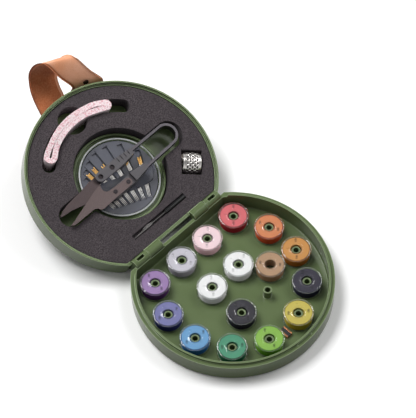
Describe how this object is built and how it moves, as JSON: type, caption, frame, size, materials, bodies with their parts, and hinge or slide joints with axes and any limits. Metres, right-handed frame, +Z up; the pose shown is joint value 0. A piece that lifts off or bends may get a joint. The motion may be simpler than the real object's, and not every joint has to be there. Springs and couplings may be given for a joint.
{
  "type": "sewing kit case",
  "caption": "Round clamshell sewing kit, lid open: moulded tray of posts with thread bobbins, foam-lined lid holding snips, needle case, tape, thimble and seam ripper, and a leather strap.",
  "frame": {"origin": "centre of the tray's round underside, on the table", "axes": "+X along the hinge, +Y from the tray towards the open lid, +Z up; rest is the open kit as it lies on a table"},
  "size_m": [0.135, 0.2614, 0.0698],
  "materials": {
    "shell_green": "satin moulded plastic",
    "foam_black": "fine-celled foam",
    "copper": "copper-plated sheet",
    "magnet_black": "black epoxy",
    "tape_pink": "coated woven tape",
    "strip_steel": "dark phosphate",
    "grip_plastic": "satin",
    "blade_steel": "dark ground steel",
    "screw_steel": "blackened",
    "clear_case": "clear",
    "insert_grey": "satin",
    "needle_steel": "polished",
    "thimble_steel": "dimpled, bright",
    "ripper_black": "gloss",
    "ripper_steel": "polished",
    "strap_leather": "smooth grain outside, dark suede inside",
    "rivet_dark": "dark",
    "bobbin_clear": "clear",
    "thread_orange": "wound sewing thread",
    "thread_amber": "wound sewing thread",
    "thread_indigo": "wound sewing thread",
    "thread_yellow": "wound sewing thread",
    "thread_periwinkle": "wound sewing thread",
    "thread_sky_blue": "wound sewing thread",
    "thread_green": "wound sewing thread",
    "thread_lime": "wound sewing thread",
    "thread_pink": "wound sewing thread",
    "thread_grey": "wound sewing thread",
    "thread_red": "wound sewing thread",
    "thread_lilac": "wound sewing thread",
    "thread_white_a": "wound sewing thread",
    "thread_white_b": "wound sewing thread",
    "thread_dark_indigo": "wound sewing thread",
    "thread_tan": "wound sewing thread"
  },
  "bodies": {
    "tray": {"base_tray": "shell_green", "magnet_channel": "copper", "pin_magnet": "magnet_black"},
    "lid": {"lid_shell": "shell_green", "foam_insert": "foam_black", "strap": "strap_leather", "strap_rivets": "rivet_dark"},
    "tape": {"tape_measure": "tape_pink"},
    "thimble": {"thimble": "thimble_steel"},
    "ripper": {"ripper_handle": "ripper_black", "ripper_blade": "ripper_steel"},
    "needle_case": {"needle_case_base": "clear_case", "needle_insert": "insert_grey", "needles": "needle_steel"},
    "case_cover": {"needle_case_cover": "clear_case"},
    "snips": {"snips_bow": "strip_steel", "snips_grip_upper": "grip_plastic", "snips_blade_upper": "blade_steel", "snips_screws": "screw_steel"},
    "snips_lower": {"snips_arm": "strip_steel", "snips_grip_lower": "grip_plastic", "snips_blade_lower": "blade_steel", "snips_rivets": "screw_steel"},
    "bobbin_01": {"bobbin_01": "bobbin_clear", "thread_01": "thread_orange"},
    "bobbin_02": {"bobbin_02": "bobbin_clear", "thread_02": "thread_amber"},
    "bobbin_03": {"bobbin_03": "bobbin_clear", "thread_03": "thread_indigo"},
    "bobbin_04": {"bobbin_04": "bobbin_clear", "thread_04": "thread_yellow"},
    "bobbin_05": {"bobbin_05": "bobbin_clear", "thread_05": "thread_periwinkle"},
    "bobbin_06": {"bobbin_06": "bobbin_clear", "thread_06": "thread_sky_blue"},
    "bobbin_07": {"bobbin_07": "bobbin_clear", "thread_07": "thread_green"},
    "bobbin_08": {"bobbin_08": "bobbin_clear", "thread_08": "thread_lime"},
    "bobbin_09": {"bobbin_09": "bobbin_clear", "thread_09": "thread_pink"},
    "bobbin_10": {"bobbin_10": "bobbin_clear", "thread_10": "thread_grey"},
    "bobbin_11": {"bobbin_11": "bobbin_clear", "thread_11": "thread_red"},
    "bobbin_12": {"bobbin_12": "bobbin_clear", "thread_12": "thread_lilac"},
    "bobbin_13": {"bobbin_13": "bobbin_clear", "thread_13": "thread_white_a"},
    "bobbin_14": {"bobbin_14": "bobbin_clear", "thread_14": "thread_white_b"},
    "bobbin_15": {"bobbin_15": "bobbin_clear", "thread_15": "thread_dark_indigo"},
    "bobbin_16": {"bobbin_16": "bobbin_clear", "thread_16": "thread_tan"}
  },
  "joints": [
    {"name": "lid_hinge", "type": "hinge", "parent": "tray", "child": "lid", "pos_m": [0, 0.0532, 0.014], "axis": [-1, 0, 0], "range_deg": [-163.3, 0]},
    {"name": "tape_lift", "type": "slide", "parent": "lid", "child": "tape", "axis": [0, -0.2874, 0.9578], "range_m": [0, 0.02]},
    {"name": "thimble_lift", "type": "slide", "parent": "lid", "child": "thimble", "axis": [0, -0.2874, 0.9578], "range_m": [0, 0.02]},
    {"name": "ripper_lift", "type": "slide", "parent": "lid", "child": "ripper", "axis": [0, -0.2874, 0.9578], "range_m": [0, 0.02]},
    {"name": "needle_case_lift", "type": "slide", "parent": "lid", "child": "needle_case", "axis": [0, -0.2874, 0.9578], "range_m": [0, 0.02]},
    {"name": "case_cover_turn", "type": "hinge", "parent": "needle_case", "child": "case_cover", "pos_m": [0, 0.10645, 0.02162], "axis": [0, -0.2874, 0.9578], "continuous": true},
    {"name": "snips_lift", "type": "slide", "parent": "needle_case", "child": "snips", "axis": [0, -0.2874, 0.9578], "range_m": [0, 0.02]},
    {"name": "snips_squeeze", "type": "hinge", "parent": "snips", "child": "snips_lower", "pos_m": [0.0418, 0.10511, 0.02749], "axis": [0, 0.2874, -0.9578], "range_deg": [0, 5], "stiffness_Nm_per_rad": 1.5},
    {"name": "bobbin_01_lift", "type": "slide", "parent": "tray", "child": "bobbin_01", "axis": [0, 0, 1], "range_m": [0, 0.012]},
    {"name": "bobbin_02_lift", "type": "slide", "parent": "tray", "child": "bobbin_02", "axis": [0, 0, 1], "range_m": [0, 0.012]},
    {"name": "bobbin_03_lift", "type": "slide", "parent": "tray", "child": "bobbin_03", "axis": [0, 0, 1], "range_m": [0, 0.012]},
    {"name": "bobbin_04_lift", "type": "slide", "parent": "tray", "child": "bobbin_04", "axis": [0, 0, 1], "range_m": [0, 0.012]},
    {"name": "bobbin_05_lift", "type": "slide", "parent": "tray", "child": "bobbin_05", "axis": [0, 0, 1], "range_m": [0, 0.012]},
    {"name": "bobbin_06_lift", "type": "slide", "parent": "tray", "child": "bobbin_06", "axis": [0, 0, 1], "range_m": [0, 0.012]},
    {"name": "bobbin_07_lift", "type": "slide", "parent": "tray", "child": "bobbin_07", "axis": [0, 0, 1], "range_m": [0, 0.012]},
    {"name": "bobbin_08_lift", "type": "slide", "parent": "tray", "child": "bobbin_08", "axis": [0, 0, 1], "range_m": [0, 0.012]},
    {"name": "bobbin_09_lift", "type": "slide", "parent": "tray", "child": "bobbin_09", "axis": [0, 0, 1], "range_m": [0, 0.012]},
    {"name": "bobbin_10_lift", "type": "slide", "parent": "tray", "child": "bobbin_10", "axis": [0, 0, 1], "range_m": [0, 0.012]},
    {"name": "bobbin_11_lift", "type": "slide", "parent": "tray", "child": "bobbin_11", "axis": [0, 0, 1], "range_m": [0, 0.012]},
    {"name": "bobbin_12_lift", "type": "slide", "parent": "tray", "child": "bobbin_12", "axis": [0, 0, 1], "range_m": [0, 0.012]},
    {"name": "bobbin_13_lift", "type": "slide", "parent": "tray", "child": "bobbin_13", "axis": [0, 0, 1], "range_m": [0, 0.012]},
    {"name": "bobbin_14_lift", "type": "slide", "parent": "tray", "child": "bobbin_14", "axis": [0, 0, 1], "range_m": [0, 0.012]},
    {"name": "bobbin_15_lift", "type": "slide", "parent": "tray", "child": "bobbin_15", "axis": [0, 0, 1], "range_m": [0, 0.012]},
    {"name": "bobbin_16_lift", "type": "slide", "parent": "tray", "child": "bobbin_16", "axis": [0, 0, 1], "range_m": [0, 0.012]}
  ]
}
